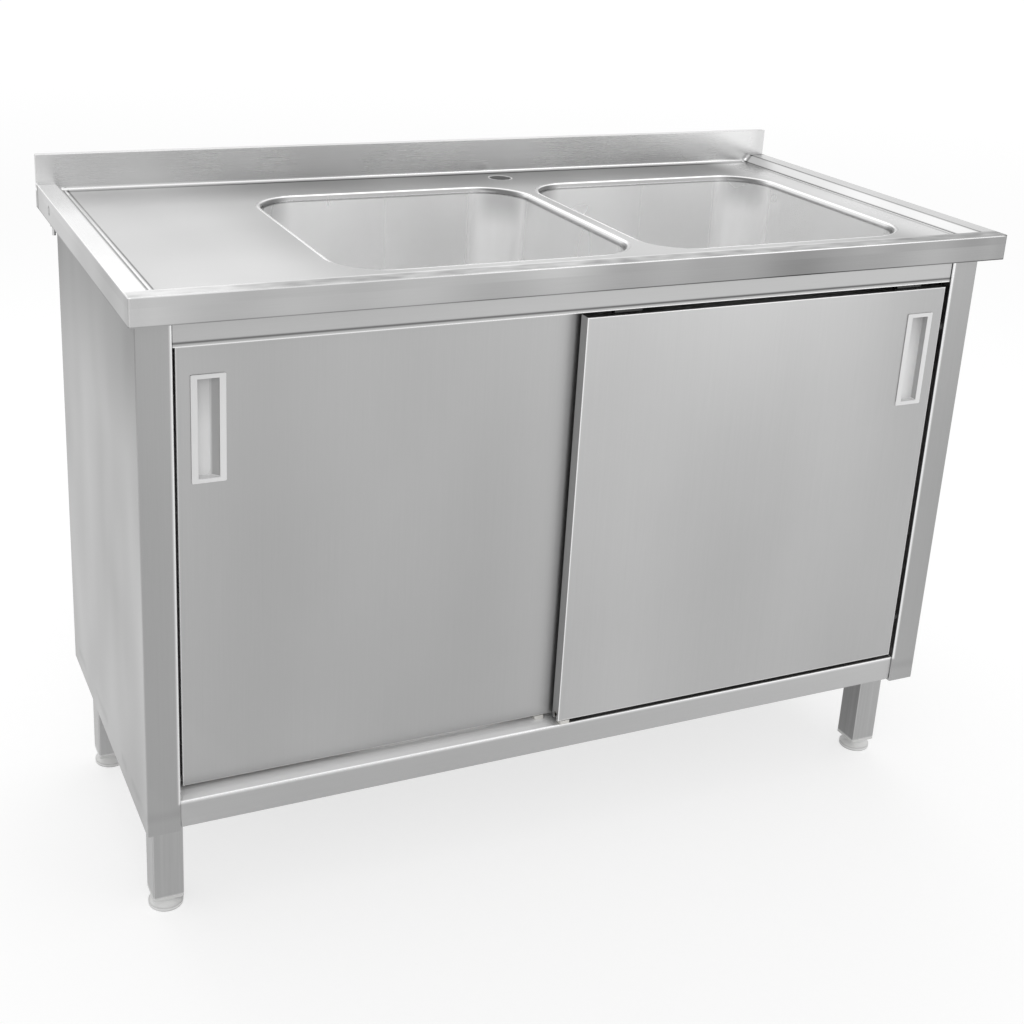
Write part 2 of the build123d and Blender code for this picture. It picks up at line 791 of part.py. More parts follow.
def make_axles(x0, x1, face):
    """The shouldered axles riveted into the brackets."""
    middle = face + hanger_set_back
    y0 = middle - hanger_front
    wheel_front = middle - roller_width / 2 - running_gap
    wheel_rear = middle + roller_width / 2 + running_gap
    axles = []
    for x in hanger_places(x0, x1):
        axle = crosswise(x, axle_z, y0, wheel_rear + axle_head_thickness, axle_radius)
        axle += crosswise(x, axle_z, y0 + hanger_sheet, wheel_front, axle_collar_radius)
        axle += crosswise(x, axle_z, wheel_rear, wheel_rear + axle_head_thickness, axle_collar_radius)
        axles.append(axle)
    return Compound(axles)


def make_roller(x, face):
    """A nylon roller."""
    middle = face + hanger_set_back
    wheel = crosswise(x, axle_z, middle - roller_width / 2, middle + roller_width / 2, roller_radius)
    wheel = chamfer(wheel.edges().filter_by(GeomType.CIRCLE), roller_chamfer)
    return wheel - crosswise(x, axle_z, middle - roller_width, middle + roller_width, axle_radius + axle_fit)


# ---- Legs and feet

def make_leg(x, y, inward_x, inward_y):
    """A square tube with a plate on top that reaches inwards from it."""
    tube = rounded_prism(x, y, leg_size, leg_size, leg_corner_radius, leg_bottom, plate_bottom)
    hole = leg_size - 2 * leg_wall
    tube -= rounded_prism(x, y, hole, hole, leg_corner_radius - leg_wall, leg_bottom, plate_bottom)
    shift = (leg_plate - leg_size) / 2
    plate = rounded_prism(x + inward_x * shift, y + inward_y * shift, leg_plate, leg_plate,
                          leg_corner_radius, plate_bottom, shelf_bottom)
    for bolt_x, bolt_y in leg_bolt_places():
        plate -= upright(bolt_x, bolt_y, plate_bottom - 1, shelf_bottom + 1, leg_bolt_hole_radius)
    return tube + plate


def make_leg_bolts():
    """Hexagon bolts through leg plates and shelf, with cap nuts on the shelf."""
    hexagon = RegularPolygon(leg_bolt_head_radius, 6)
    bolts = []
    for x, y in leg_bolt_places():
        head = Pos(x, y, plate_bottom - leg_bolt_head_height) * extrude(hexagon, leg_bolt_head_height)
        nut = Pos(x, y, shelf_height) * extrude(hexagon, cap_nut_height)
        nut = fillet(edges_at(nut, shelf_height + cap_nut_height), cap_nut_height / 3)
        bolts.append(head + nut + upright(x, y, plate_bottom, shelf_height, leg_bolt_radius))
    return Compound(bolts)


def make_leg_insert(x, y):
    """The plastic plug in a leg, with a bore for the foot's stem."""
    body = leg_size - 2 * (leg_wall + insert_fit)
    low = leg_bottom - insert_flange
    insert = rounded_prism(x, y, leg_size, leg_size, leg_corner_radius, low, leg_bottom)
    top = leg_bottom + insert_depth
    insert += rounded_prism(x, y, body, body, leg_corner_radius - leg_wall, leg_bottom, top)
    low = leg_bottom - insert_flange
    return insert - upright(x, y, low, leg_bottom + insert_depth, foot_stem_radius + insert_bore_fit)


def make_foot(x, y):
    """A domed plastic foot with a threaded stem."""
    profile = Polyline((0, 0), (foot_radius, 0), (foot_radius, foot_rim_height)) \
        + ThreePointArc((foot_radius, foot_rim_height), dome_middle(), (foot_neck_radius, foot_height)) \
        + Polyline((foot_neck_radius, foot_height), (foot_stem_radius, foot_height),
                   (foot_stem_radius, foot_stem_top), (0, foot_stem_top), (0, 0))
    face = Plane.XZ * make_face(profile)
    foot = revolve(face, Axis.Z)
    rims = [e for e in edges_at(foot, 0) if e.geom_type == GeomType.CIRCLE]
    return Pos(x, y, 0) * fillet(rims, foot_edge_round)


def dome_middle():
    """The middle point of the foot's hollow shoulder."""
    run = foot_radius - foot_neck_radius
    rise = foot_height - foot_rim_height
    return (foot_neck_radius + run * 0.45, foot_rim_height + rise * 0.36)


# ---- Assembly

def door_pieces(name, x0, x1, face, side):
    """Every node of one door."""
    pieces = {
        f"door_{name}_front": make_door_front(x0, x1, face, side),
        f"door_{name}_back": make_door_back(x0, x1, face),
        f"door_{name}_core": make_door_core(x0, x1, face, side),
        f"pull_{name}": make_pull(x0, x1, face, side),
        f"hangers_{name}": make_hangers(x0, x1, face),
        f"hanger_screws_{name}": make_hanger_screws(x0, x1, face),
        f"roller_axles_{name}": make_axles(x0, x1, face),
    }
    for number, x in enumerate(hanger_places(x0, x1), 1):
        pieces[f"roller_{name}_{number}"] = make_roller(x, face)
    return pieces


def all_pieces():
    """Every node of the unit by name."""
    pieces = {
        "worktop": make_worktop(),
        "bowl_left": make_bowl(bowl_left_x),
        "bowl_right": make_bowl(bowl_right_x),
        "drainer_board": make_board(),
        "bonding_stud": make_bonding_stud(),
        "side_panel_left": make_side_panel(-1),
        "side_panel_right": make_side_panel(1),
        "back_panel_left": make_back_panel(-1),
        "back_panel_right": make_back_panel(1),
        "bottom_shelf": make_shelf(),
        "shelf_stiffeners": make_stiffeners(),
        "front_rail": make_front_rail(),
        "rear_rail": make_rear_rail(),
        "track_screws": make_track_screws(),
        "track_stops": make_track_stops(),
        "door_buffers": make_buffers(),
        "guide_screws": make_guide_screws(),
        "leg_bolts": make_leg_bolts(),
    }
    makers = {"flange": make_waste_flange, "gasket": make_waste_gasket, "tail": make_waste_tail,
              "screw": make_waste_screw}
    for kind, maker in makers.items():
        piece = maker()
        for name, x in (("left", bowl_left_x), ("right", bowl_right_x)):
            pieces[f"waste_{kind}_{name}"] = Pos(x, bowl_y, 0) * piece
    for name, middle in track_middles():
        pieces[f"track_{name}_door"] = make_track(middle)
    for name, x0, x1, face, side, guide_x in door_places():
        pieces[f"guide_{name}_door"] = make_guide(guide_x, face)
        pieces.update(door_pieces(name, x0, x1, face, side))
    for name, x, y, inward_x, inward_y in leg_places():
        pieces[f"leg_{name}"] = make_leg(x, y, inward_x, inward_y)
        pieces[f"leg_insert_{name}"] = make_leg_insert(x, y)
        pieces[f"foot_{name}"] = make_foot(x, y)
    return pieces


os.makedirs("parts", exist_ok=True)
for node, piece in all_pieces().items():
    export_step(piece, f"parts/{node}.step")
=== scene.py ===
import math

import bpy
from mathutils import Euler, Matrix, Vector


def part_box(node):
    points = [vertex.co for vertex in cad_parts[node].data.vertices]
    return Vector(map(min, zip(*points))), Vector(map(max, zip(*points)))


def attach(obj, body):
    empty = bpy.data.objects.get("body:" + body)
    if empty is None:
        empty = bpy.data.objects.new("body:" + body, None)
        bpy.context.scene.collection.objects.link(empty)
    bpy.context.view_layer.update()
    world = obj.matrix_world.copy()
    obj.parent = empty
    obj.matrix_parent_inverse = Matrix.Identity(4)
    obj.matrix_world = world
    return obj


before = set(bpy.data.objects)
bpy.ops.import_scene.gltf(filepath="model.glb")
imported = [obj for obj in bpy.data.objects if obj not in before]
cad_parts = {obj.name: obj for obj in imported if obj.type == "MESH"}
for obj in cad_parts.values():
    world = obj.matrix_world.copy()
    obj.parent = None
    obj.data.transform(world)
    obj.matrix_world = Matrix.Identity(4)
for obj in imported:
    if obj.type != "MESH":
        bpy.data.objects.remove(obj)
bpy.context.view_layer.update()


# ---- Side panels
# Each side of the cabinet is one folded sheet of satin stainless steel with a post down its
# front edge and flanges behind. It is brushed from top to bottom, and the front rail, shelf and
# track ends are spot welded to it from inside. It is darker on the post just under the apron, has
# faint heat blots at the shelf, and carries painted highlights, painted reflections and painted shade.

class Wire:
    """One output of a node. Arithmetic on it adds Math nodes to the same tree."""

    def __init__(self, nodes, socket):
        self.nodes = nodes
        self.socket = socket

    def maths(self, operation, first, second=0.0):
        return self.nodes.node("ShaderNodeMath", {"operation": operation}, {0: first, 1: second})

    def __add__(self, other):
        return self.maths("ADD", self, other)

    __radd__ = __add__

    def __sub__(self, other):
        return self.maths("SUBTRACT", self, other)

    def __rsub__(self, other):
        return self.maths("SUBTRACT", other, self)

    def __mul__(self, other):
        return self.maths("MULTIPLY", self, other)

    __rmul__ = __mul__

    def __pow__(self, other):
        return self.maths("POWER", self, other)

    def __abs__(self):
        return self.maths("ABSOLUTE", self)

    def most(self, other):
        """The larger of two values."""
        return self.maths("MAXIMUM", self, other)

    def least(self, other):
        """The smaller of two values."""
        return self.maths("MINIMUM", self, other)

    def slide(self, low, high, start, end):
        """From start at low to end at high, smoothly, and level beyond them."""
        return self.nodes.node("ShaderNodeMapRange", {"interpolation_type": "SMOOTHSTEP"},
                               {"Value": self, "From Min": low, "From Max": high,
                                "To Min": start, "To Max": end})

    def bump(self, centre, reach):
        """1 at the centre value, falling smoothly to 0 at a distance of reach on either side."""
        return abs(self - centre).slide(0.0, reach, 1.0, 0.0)

    def rise(self, low, high):
        """0 below low, 1 above high and smooth in between."""
        return self.slide(low, high, 0.0, 1.0)


class Nodes:
    """A node tree being filled."""

    def __init__(self, tree):
        self.tree = tree

    def node(self, kind, settings=None, sockets=None, out=0):
        """Adds a node: its settings first, then a value or a Wire for each socket named."""
        made = self.tree.nodes.new(kind)
        for name, value in (settings or {}).items():
            setattr(made, name, value)
        for name, value in (sockets or {}).items():
            if isinstance(value, Wire):
                self.tree.links.new(value.socket, made.inputs[name])
            else:
                made.inputs[name].default_value = value
        if out is None:
            return made
        if isinstance(out, tuple):
            return tuple(Wire(self, made.outputs[each]) for each in out)
        return Wire(self, made.outputs[out])

    def place(self):
        """The point on the piece, in metres."""
        return self.node("ShaderNodeTexCoord", out="Object")

    def axes(self, point):
        return self.node("ShaderNodeSeparateXYZ", None, {"Vector": point}, out=(0, 1, 2))

    def stretched_noise(self, point, scale, detail, offset=(0.0, 0.0, 0.0), roughness=0.5):
        """Noise with its own scale along each axis, in ups and downs per metre."""
        moved = self.node("ShaderNodeMapping", None,
                          {"Vector": point, "Location": offset, "Scale": scale})
        return self.node("ShaderNodeTexNoise", {"noise_dimensions": "3D"},
                         {"Vector": moved, "Scale": 1.0, "Detail": detail, "Roughness": roughness})

    def blend(self, factor, first, second):
        """A colour between two others."""
        return self.node("ShaderNodeMix", {"data_type": "RGBA"}, {0: factor, 6: first, 7: second}, out=2)

    def toned(self, tone, shade):
        """A grey of the given tone, made lighter or darker by shade."""
        tint = self.node("ShaderNodeCombineColor", None, {0: shade, 1: shade, 2: shade})
        return self.node("ShaderNodeMix", {"data_type": "RGBA", "blend_type": "MULTIPLY"},
                         {0: 1.0, 6: grey(tone), 7: tint}, out=2)

    def surface(self, sockets, height=None, lift=0.0):
        """The shader of the material. Where a height is given, it is the bump, lift metres high."""
        if height is not None:
            sockets["Normal"] = self.node("ShaderNodeBump", None,
                                          {"Height": height, "Strength": 1.0, "Distance": lift})
        shader = self.node("ShaderNodeBsdfPrincipled", None, sockets)
        self.node("ShaderNodeOutputMaterial", None, {"Surface": shader}, out=None)


def new_material(name):
    material = bpy.data.materials.new(name)
    material.use_nodes = True
    material.node_tree.nodes.clear()
    return material, Nodes(material.node_tree)


def grey(value):
    return (value, value, value, 1.0)


def steel(name, grain, tone, roughness, seed, marks=None, polish_and_painted_light=None, painted_glare=None):
    """Satin stainless sheet. grain is the axis that the brush ran along, "X", "Y" or "Z".
    marks(nodes, x, y, z) gives where the sheet is darkened by heat marks, grinding, scuffs and a band;
    the next function how much lighter it is (below 0 darker): real polish, painted highlights and painted
    shade; the last where it turns pale and matt, a painted glare that stands in for a bright reflection."""
    material, nodes = new_material(name)
    point = nodes.place()
    x, y, z = nodes.axes(point)

    def brushed(lengthwise, across):
        return tuple(lengthwise if axis == grain else across for axis in "XYZ")

    strokes = nodes.stretched_noise(point, brushed(16.0, 1500.0), 3.0, (seed, seed * 2, seed * 3), 0.65)
    streaks = nodes.stretched_noise(point, brushed(4.0, 600.0), 2.0, (seed + 5, seed, seed))
    clouds = nodes.stretched_noise(point, (7.0, 7.0, 7.0), 3.0, (seed, 3.1, seed), 0.55)
    # The broad soft bands below are painted reflections along the grain.
    painted_sheen = nodes.stretched_noise(point, brushed(1.1, 4.0), 1.0, (seed * 1.7, seed, 2.0))
    shade = 0.93 + 0.08 * strokes + 0.05 * streaks + 0.06 * (clouds - 0.5) + 0.36 * (painted_sheen - 0.5)
    rough = roughness - 0.05 + 0.06 * strokes + 0.04 * streaks + 0.08 * (clouds - 0.5)
    if marks is not None:
        bruise = marks(nodes, x, y, z)
        shade = shade - 0.10 * bruise
        rough = rough + 0.07 * bruise
    # Painted highlights and painted shade are added to the colour here, along with real polish and wear.
    if polish_and_painted_light is not None:
        rubbed_and_painted_light = polish_and_painted_light(nodes, x, y, z)
        shade = shade + 0.45 * rubbed_and_painted_light
        rough = rough - 0.10 * rubbed_and_painted_light
    # A pale matt share here is a painted glare that stands in for a bright reflection.
    metallic = 1.0 if painted_glare is None else 1 - painted_glare(nodes, x, y, z)
    nodes.surface({"Base Color": nodes.toned(tone, shade), "Metallic": metallic, "Roughness": rough},
                  strokes, 0.00002)
    return material


def dress(node, material):
    """Gives a CAD node its material."""
    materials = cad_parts[node].data.materials
    materials.clear()
    materials.append(material)


def side_darkening(nodes, x, y, z):
    """A darker band on the post just under the apron, and heat blots where the shelf is welded on inside."""
    rail = z.bump(0.806, 0.012) * y.bump(-0.244, 0.026)
    shelf = z.bump(0.176, 0.012)
    blots = nodes.stretched_noise(nodes.place(), (9.0, 22.0, 9.0), 0.0).rise(0.5, 0.62)
    return rail * 0.9 + shelf * blots * 0.6


def post_highlight_and_shade(nodes, x, y, z):
    """A painted highlight on the post's inner fold. The post's face is duller. The outer face has painted
    reflections, painted shade from the apron over its top, and is darker towards its foot."""
    fold = abs(x).bump(0.5454, 0.0046) * y.bump(-0.2652, 0.0030) * z.rise(0.186, 0.190) * 2.6
    post = (1 - y.rise(-0.2648, -0.2642)) * -0.32
    outer_face = abs(x).rise(0.5855, 0.5865)
    painted_sheen = nodes.stretched_noise(nodes.place(), (1.0, 5.0, 2.2), 2.0, (3.0, 1.4, 6.2)) - 0.5
    # Painted shade of the apron's overhang at the top of the outer face.
    painted_shade_top = 0.85 * z.rise(0.62, 0.83)
    darker_foot = 0.15 * (1 - z.rise(0.15, 0.34))
    return fold + post + outer_face * (1.5 * painted_sheen - painted_shade_top - darker_foot)


side_sheet = steel("side_sheet_brushed", "Z", 0.44, 0.36, 1.7, side_darkening, post_highlight_and_shade)
for side in ("left", "right"):
    dress(f"side_panel_{side}", side_sheet)


# ---- Back panels
# Two plain sheets that leave a gap between them for the pipes. They are left as they came from
# the roll, duller than the sides, with the free edges deburred bright, and spot welded in place.

pipe_gap = 0.26


def back_edge_wear(nodes, x, y, z):
    return abs(x).bump(pipe_gap / 2, 0.003)


back_sheet = steel("back_sheet_plain", "X", 0.44, 0.42, 4.3, None, back_edge_wear)
for side in ("left", "right"):
    dress(f"back_panel_{side}", back_sheet)


# ---- Spot welds of the cabinet
# Pairs of electrodes pinch the sheets together every few centimetres. Each leaves a shallow
# round print with a raised rim and a dull ring burnt round it.

def growing_tree(name, sizes):
    """A Geometry Nodes tree that takes a path and the named sizes, with a Wire for each."""
    tree = bpy.data.node_groups.new(name, "GeometryNodeTree")
    tree.interface.new_socket("Path", in_out="INPUT", socket_type="NodeSocketGeometry")
    kinds = {"Seed": "NodeSocketInt", "Foot": "NodeSocketVector"}
    for size in sizes:
        kind = kinds.get(size, "NodeSocketFloat")
        tree.interface.new_socket(size, in_out="INPUT", socket_type=kind)
    tree.interface.new_socket("Piece", in_out="OUTPUT", socket_type="NodeSocketGeometry")
    nodes = Nodes(tree)
    return nodes, nodes.node("NodeGroupInput", out=("Path", *sizes))


def end_tree(nodes, grown, material):
    """Ends a tree with real faces that carry the material."""
    real = nodes.node("GeometryNodeRealizeInstances", None, {"Geometry": grown})
    finished = nodes.node("GeometryNodeSetMaterial", None, {"Geometry": real, "Material": material})
    nodes.node("NodeGroupOutput", None, {"Piece": finished}, out=None)
    return nodes.tree


def grow(name, tree, sizes, lines=(), facing=None):
    """One plain mesh from a tree. lines are pairs of end points, facing where each one looks."""
    seed = bpy.data.meshes.new(name)
    points = [point for line in lines for point in line]
    seed.from_pydata(points, [(each, each + 1) for each in range(0, len(points), 2)], [])
    if facing is not None:
        looks = seed.attributes.new("facing", "FLOAT_VECTOR", "POINT")
        looks.data.foreach_set("vector", [part for look in facing for part in (*look, *look)])
    piece = bpy.data.objects.new(name, seed)
    bpy.context.scene.collection.objects.link(piece)
    growth = piece.modifiers.new("growth", "NODES")
    growth.node_group = tree
    for socket in tree.interface.items_tree:
        if socket.in_out == "INPUT" and socket.name in sizes:
            growth[socket.identifier] = sizes[socket.name]
    grown = bpy.data.meshes.new_from_object(piece.evaluated_get(bpy.context.evaluated_depsgraph_get()))
    grown.name = name
    piece.modifiers.clear()
    piece.data = grown
    return piece


def weld_material():
    material, nodes = new_material("weld_steel")
    point = nodes.place()
    scale = nodes.stretched_noise(point, (500.0, 500.0, 500.0), 3.0)
    tint = nodes.stretched_noise(point, (40.0, 40.0, 40.0), 2.0, (3.0, 5.0, 1.0))
    colour = nodes.blend(tint, (0.34, 0.33, 0.32, 1), (0.46, 0.45, 0.44, 1))
    nodes.surface({"Base Color": colour, "Metallic": 1.0, "Roughness": 0.38 + 0.2 * scale}, scale, 0.00006)
    return material


def spot_weld_tree():
    nodes, (path, pitch, radius, rim) = growing_tree("spot_weld_row", ("Pitch", "Radius", "Rim"))
    row = nodes.node("GeometryNodeMeshToCurve", None, {"Mesh": path})
    spots = nodes.node("GeometryNodeResampleCurve", {"mode": "LENGTH"}, {"Curve": row, "Length": pitch})
    ring = nodes.node("GeometryNodeCurvePrimitiveCircle", None, {"Resolution": 12, "Radius": radius})
    section = nodes.node("GeometryNodeCurvePrimitiveCircle", None, {"Resolution": 4, "Radius": rim})
    crater = nodes.node("GeometryNodeCurveToMesh", None, {"Curve": ring, "Profile Curve": section})
    looks = nodes.node("GeometryNodeInputNamedAttribute", {"data_type": "FLOAT_VECTOR"},
                       {"Name": "facing"}, out="Attribute")
    turn = nodes.node("FunctionNodeAlignRotationToVector", {"axis": "Z"}, {"Vector": looks})
    prints = nodes.node("GeometryNodeInstanceOnPoints", None,
                        {"Points": spots, "Instance": crater, "Rotation": turn})
    return end_tree(nodes, prints, weld_steel)


weld_steel = weld_material()
spot_welds = spot_weld_tree()
behind, below = (0, 1, 0), (0, 0, -1)
flange_x, flange_y, panel_y, shelf_underside = 0.577, 0.215, 0.214, 0.188
panel_row, half_shelf_row = 0.41, 0.49
cabinet_rows = [(((x, flange_y, 0.18), (x, flange_y, 0.80)), behind) for x in (-flange_x, flange_x)]
cabinet_rows += [(((x, panel_y, z), (x + panel_row, panel_y, z)), behind)
                 for x in (-0.55, 0.14) for z in (0.175, 0.816)]
cabinet_rows += [(((-half_shelf_row, y, shelf_underside), (half_shelf_row, y, shelf_underside)), below)
                 for y in (-0.1725, -0.1275, 0.0775, 0.1225)]
cabinet_welds = grow("cabinet_spot_welds", spot_welds,
                     {"Pitch": 0.062, "Radius": 0.0023, "Rim": 0.00022},
                     [row for row, _ in cabinet_rows], [look for _, look in cabinet_rows])
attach(cabinet_welds, "cabinet")


# ---- Bottom shelf and its stiffeners
# The cabinet floor is one sheet with a deep lip folded down at the front and flanges at the
# other edges. Two top-hat channels are welded under it. Pots slide on it, so it has fine scuffs.

def on_shelf(z):
    """1 on the shelf's upper face."""
    return z.rise(0.1885, 0.1895)


def by_right_door(x):
    """1 where the closed right door stands over the shelf's front, 0 before the left one."""
    return x.rise(-0.040, 0.0)


def shelf_scuffs(nodes, x, y, z):
    arcs = nodes.stretched_noise(nodes.place(), (5.0, 60.0, 5.0), 4.0, (2.0, 7.0, 1.0), 0.6)
    return arcs.rise(0.58, 0.66) * on_shelf(z)


def lip_highlights_and_shade(nodes, x, y, z):
    """A painted highlight on the fold at the front, and the strip before the left door painted bright.
    The strip that the right door covers gets painted shade."""
    covered = by_right_door(x)
    strip = (1 - y.rise(-0.2355, -0.2205)) * (1 - covered) * 2.2
    dust_and_shade = y.rise(-0.2680, -0.2640) * (1 - y.rise(-0.2500, -0.2380)) * covered * 1.2
    fold = y.bump(-0.262, 0.0022) * z.rise(0.184, 0.19) * 1.6
    return on_shelf(z) * (strip - dust_and_shade) + fold


def front_strip_glare(nodes, x, y, z):
    """The strip before the left door turns pale and matt, a painted glare for a bright reflection."""
    return on_shelf(z) * (1 - y.rise(-0.232, -0.218)) * (1 - by_right_door(x)) * 0.9


shelf_sheet = steel("shelf_sheet_brushed", "X", 0.48, 0.42, 2.9, shelf_scuffs, lip_highlights_and_shade, front_strip_glare)
dress("bottom_shelf", shelf_sheet)
dress("shelf_stiffeners", steel("stiffener_sheet", "X", 0.46, 0.40, 6.1))


# ---- Rails and door tracks
# Folded channels that tie the side panels together under the worktop. Two rolled tracks are
# screwed up under the front rail, and the door rollers have worn a bright line in each.

def rail_bruises(nodes, x, y, z):
    """A row of faint round weld marks along the rail."""
    half_pitch = 0.068
    along = nodes.node("ShaderNodeMath", {"operation": "PINGPONG"}, {0: x, 1: half_pitch})
    return along.bump(half_pitch / 2, 0.005) * z.bump(0.8285, 0.005) * 0.5


def rail_highlights_and_shade(nodes, x, y, z):
    """A painted highlight on the lower edge, a painted dark line in its fold and painted shadow under the
    apron.
    """
    lower_edge = z.bump(0.7779, 0.0016) * 2.0
    fold = z.bump(0.7826, 0.0026) * 1.5
    painted_apron_shadow = z.rise(0.800, 0.818) * 0.55
    return lower_edge - fold - painted_apron_shadow


rail_sheet = steel("rail_sheet_brushed", "X", 0.45, 0.37, 8.2, rail_bruises, rail_highlights_and_shade)
dress("front_rail", rail_sheet)
dress("rear_rail", rail_sheet)


def roller_path(nodes, x, y, z):
    """The bright line on the floor of each track."""
    tracks = y.bump(-0.2505, 0.0032) + y.bump(-0.227, 0.0032)
    return tracks * (1 - z.rise(0.7925, 0.7945))


track_sheet = steel("track_sheet_rolled", "X", 0.50, 0.30, 3.3, None, roller_path)
dress("track_left_door", track_sheet)
dress("track_right_door", track_sheet)


# ---- Screws, bolts and the rollers' axles
# Turned and cold-headed stainless fasteners. Their heads are a little brighter than the sheet,
# with fine turning rings and small nicks where the driver has slipped.

def turned_steel(name, tone, roughness, scale=900.0):
    material, nodes = new_material(name)
    point = nodes.place()
    rings = nodes.stretched_noise(point, (scale, scale, scale * 2.2), 2.0)
    nicks = nodes.stretched_noise(point, (420.0, 420.0, 420.0), 4.0, (3.0, 1.0, 2.0)).rise(0.62, 0.7)
    colour = nodes.blend(rings * 0.5 + nicks * 0.4, grey(tone), grey(tone * 0.72))
    rough = roughness + 0.12 * rings + 0.1 * nicks
    nodes.surface({"Base Color": colour, "Metallic": 1.0, "Roughness": rough}, rings - nicks, 0.00003)
    return material


screw_steel = turned_steel("screw_steel", 0.62, 0.26)
for node in ("track_screws", "guide_screws", "leg_bolts", "bonding_stud", "hanger_screws_left",
             "hanger_screws_right", "waste_screw_left", "waste_screw_right"):
    dress(node, screw_steel)
axle_steel = turned_steel("axle_steel", 0.66, 0.2, 500.0)
for side in ("left", "right"):
    dress(f"roller_axles_{side}", axle_steel)


# ---- Legs
# Square stainless tube, satin ground along its length, with a thick plate welded across the top
# and three bolts through it into the cabinet floor.

leg_x, front_leg_y, rear_leg_y = 0.552, -0.200, 0.150
leg_places = {"front_left": (-leg_x, front_leg_y), "front_right": (leg_x, front_leg_y),
              "rear_left": (-leg_x, rear_leg_y), "rear_right": (leg_x, rear_leg_y)}


def leg_heat(nodes, x, y, z):
    """The heat mark of the weld at the top of each tube."""
    return z.bump(0.186, 0.009)


def leg_highlights_and_shade(nodes, x, y, z):
    """The cut end is lighter and the corners carry painted highlights, over the lines of the grinding
    belt. The faces towards the middle of the unit get painted shade."""
    grinding = nodes.stretched_noise(nodes.place(), (260.0, 260.0, 5.0), 2.0, (2.0, 6.0, 1.0)) - 0.5
    corner_at, corner_reach = 0.0196, 0.0014
    middle_y, half_spacing = (front_leg_y + rear_leg_y) / 2, (rear_leg_y - front_leg_y) / 2
    corner_x = abs(abs(x) - leg_x).bump(corner_at, corner_reach)
    corner_y = abs(abs(y - middle_y) - half_spacing).bump(corner_at, corner_reach)
    cut_end = z.bump(0.021, 0.0025)
    # Painted shade on the faces towards the middle of the unit.
    inner_face = 1 - abs(x).rise(0.5322, 0.5330)
    return cut_end + 0.4 * grinding + 1.3 * corner_x * corner_y - 0.9 * inner_face


leg_tube = steel("leg_tube_ground", "Z", 0.39, 0.33, 9.4, leg_heat, leg_highlights_and_shade)
for place in leg_places:
    dress(f"leg_{place}", leg_tube)


# ---- Weld beads of the legs
# The tube is welded to its plate all round by hand, in a row of small overlapping ripples. They
# are left as they cooled.

def bead_tree():
    nodes, (path, pitch, radius, seed) = growing_tree("leg_weld_bead", ("Pitch", "Radius", "Seed"))
    seam = nodes.node("GeometryNodeMeshToCurve", None, {"Mesh": path})
    steps = nodes.node("GeometryNodeResampleCurve", {"mode": "LENGTH"}, {"Curve": seam, "Length": pitch})
    drop = nodes.node("GeometryNodeMeshUVSphere", None, {"Segments": 8, "Rings": 5, "Radius": radius})
    size = nodes.node("FunctionNodeRandomValue", {"data_type": "FLOAT"}, {2: 0.85, 3: 1.12, 8: seed}, out=1)
    ripples = nodes.node("GeometryNodeInstanceOnPoints", None,
                         {"Points": steps, "Instance": drop, "Scale": size})
    return end_tree(nodes, ripples, weld_steel)


def leg_seams():
    """The four sides of each tube, just outside its wall and short of its corners."""
    half, corner, level = 0.0203, 0.003, 0.1856
    seams = []
    for x, y in leg_places.values():
        for across in (-half, half):
            seams.append(((x - half + corner, y + across, level), (x + half - corner, y + across, level)))
            seams.append(((x + across, y - half + corner, level), (x + across, y + half - corner, level)))
    return seams


leg_beads = grow("leg_weld_beads", bead_tree(), {"Pitch": 0.0014, "Radius": 0.0015, "Seed": 7},
                 leg_seams())
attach(leg_beads, "cabinet")


# ---- Leg inserts
# A ribbed nylon plug is driven into the open end of each leg. Its pale flange closes the tube
# and is what shows as a light line between the leg and the foot.

def moulded(name, colour, darker, roughness):
    """Moulded plastic with a fine spark-eroded grain, faint flow shading and a few scuffs."""
    material, nodes = new_material(name)
    point = nodes.place()
    pores = nodes.stretched_noise(point, (700.0, 700.0, 700.0), 2.0)
    flow = nodes.stretched_noise(point, (18.0, 18.0, 9.0), 2.0, (1.0, 4.0, 2.0))
    scuffs = nodes.stretched_noise(point, (60.0, 60.0, 240.0), 4.0, (6.0, 2.0, 3.0)).rise(0.6, 0.72) * 0.5
    tint = nodes.blend(flow * 0.5 + scuffs * 0.5 + pores * 0.12, colour, darker)
    rough = roughness + 0.12 * pores - 0.08 * scuffs
    nodes.surface({"Base Color": tint, "Roughness": rough}, pores, 0.00004)
    return material


insert_nylon = moulded("insert_nylon", (0.74, 0.74, 0.73, 1), (0.55, 0.55, 0.54, 1), 0.42)
for place in leg_places:
    dress(f"leg_insert_{place}", insert_nylon)


# ---- Feet
# Domed discs of light grey nylon moulded round the head of a zinc-plated threaded stem. The stem
# screws up into the insert to level the unit.

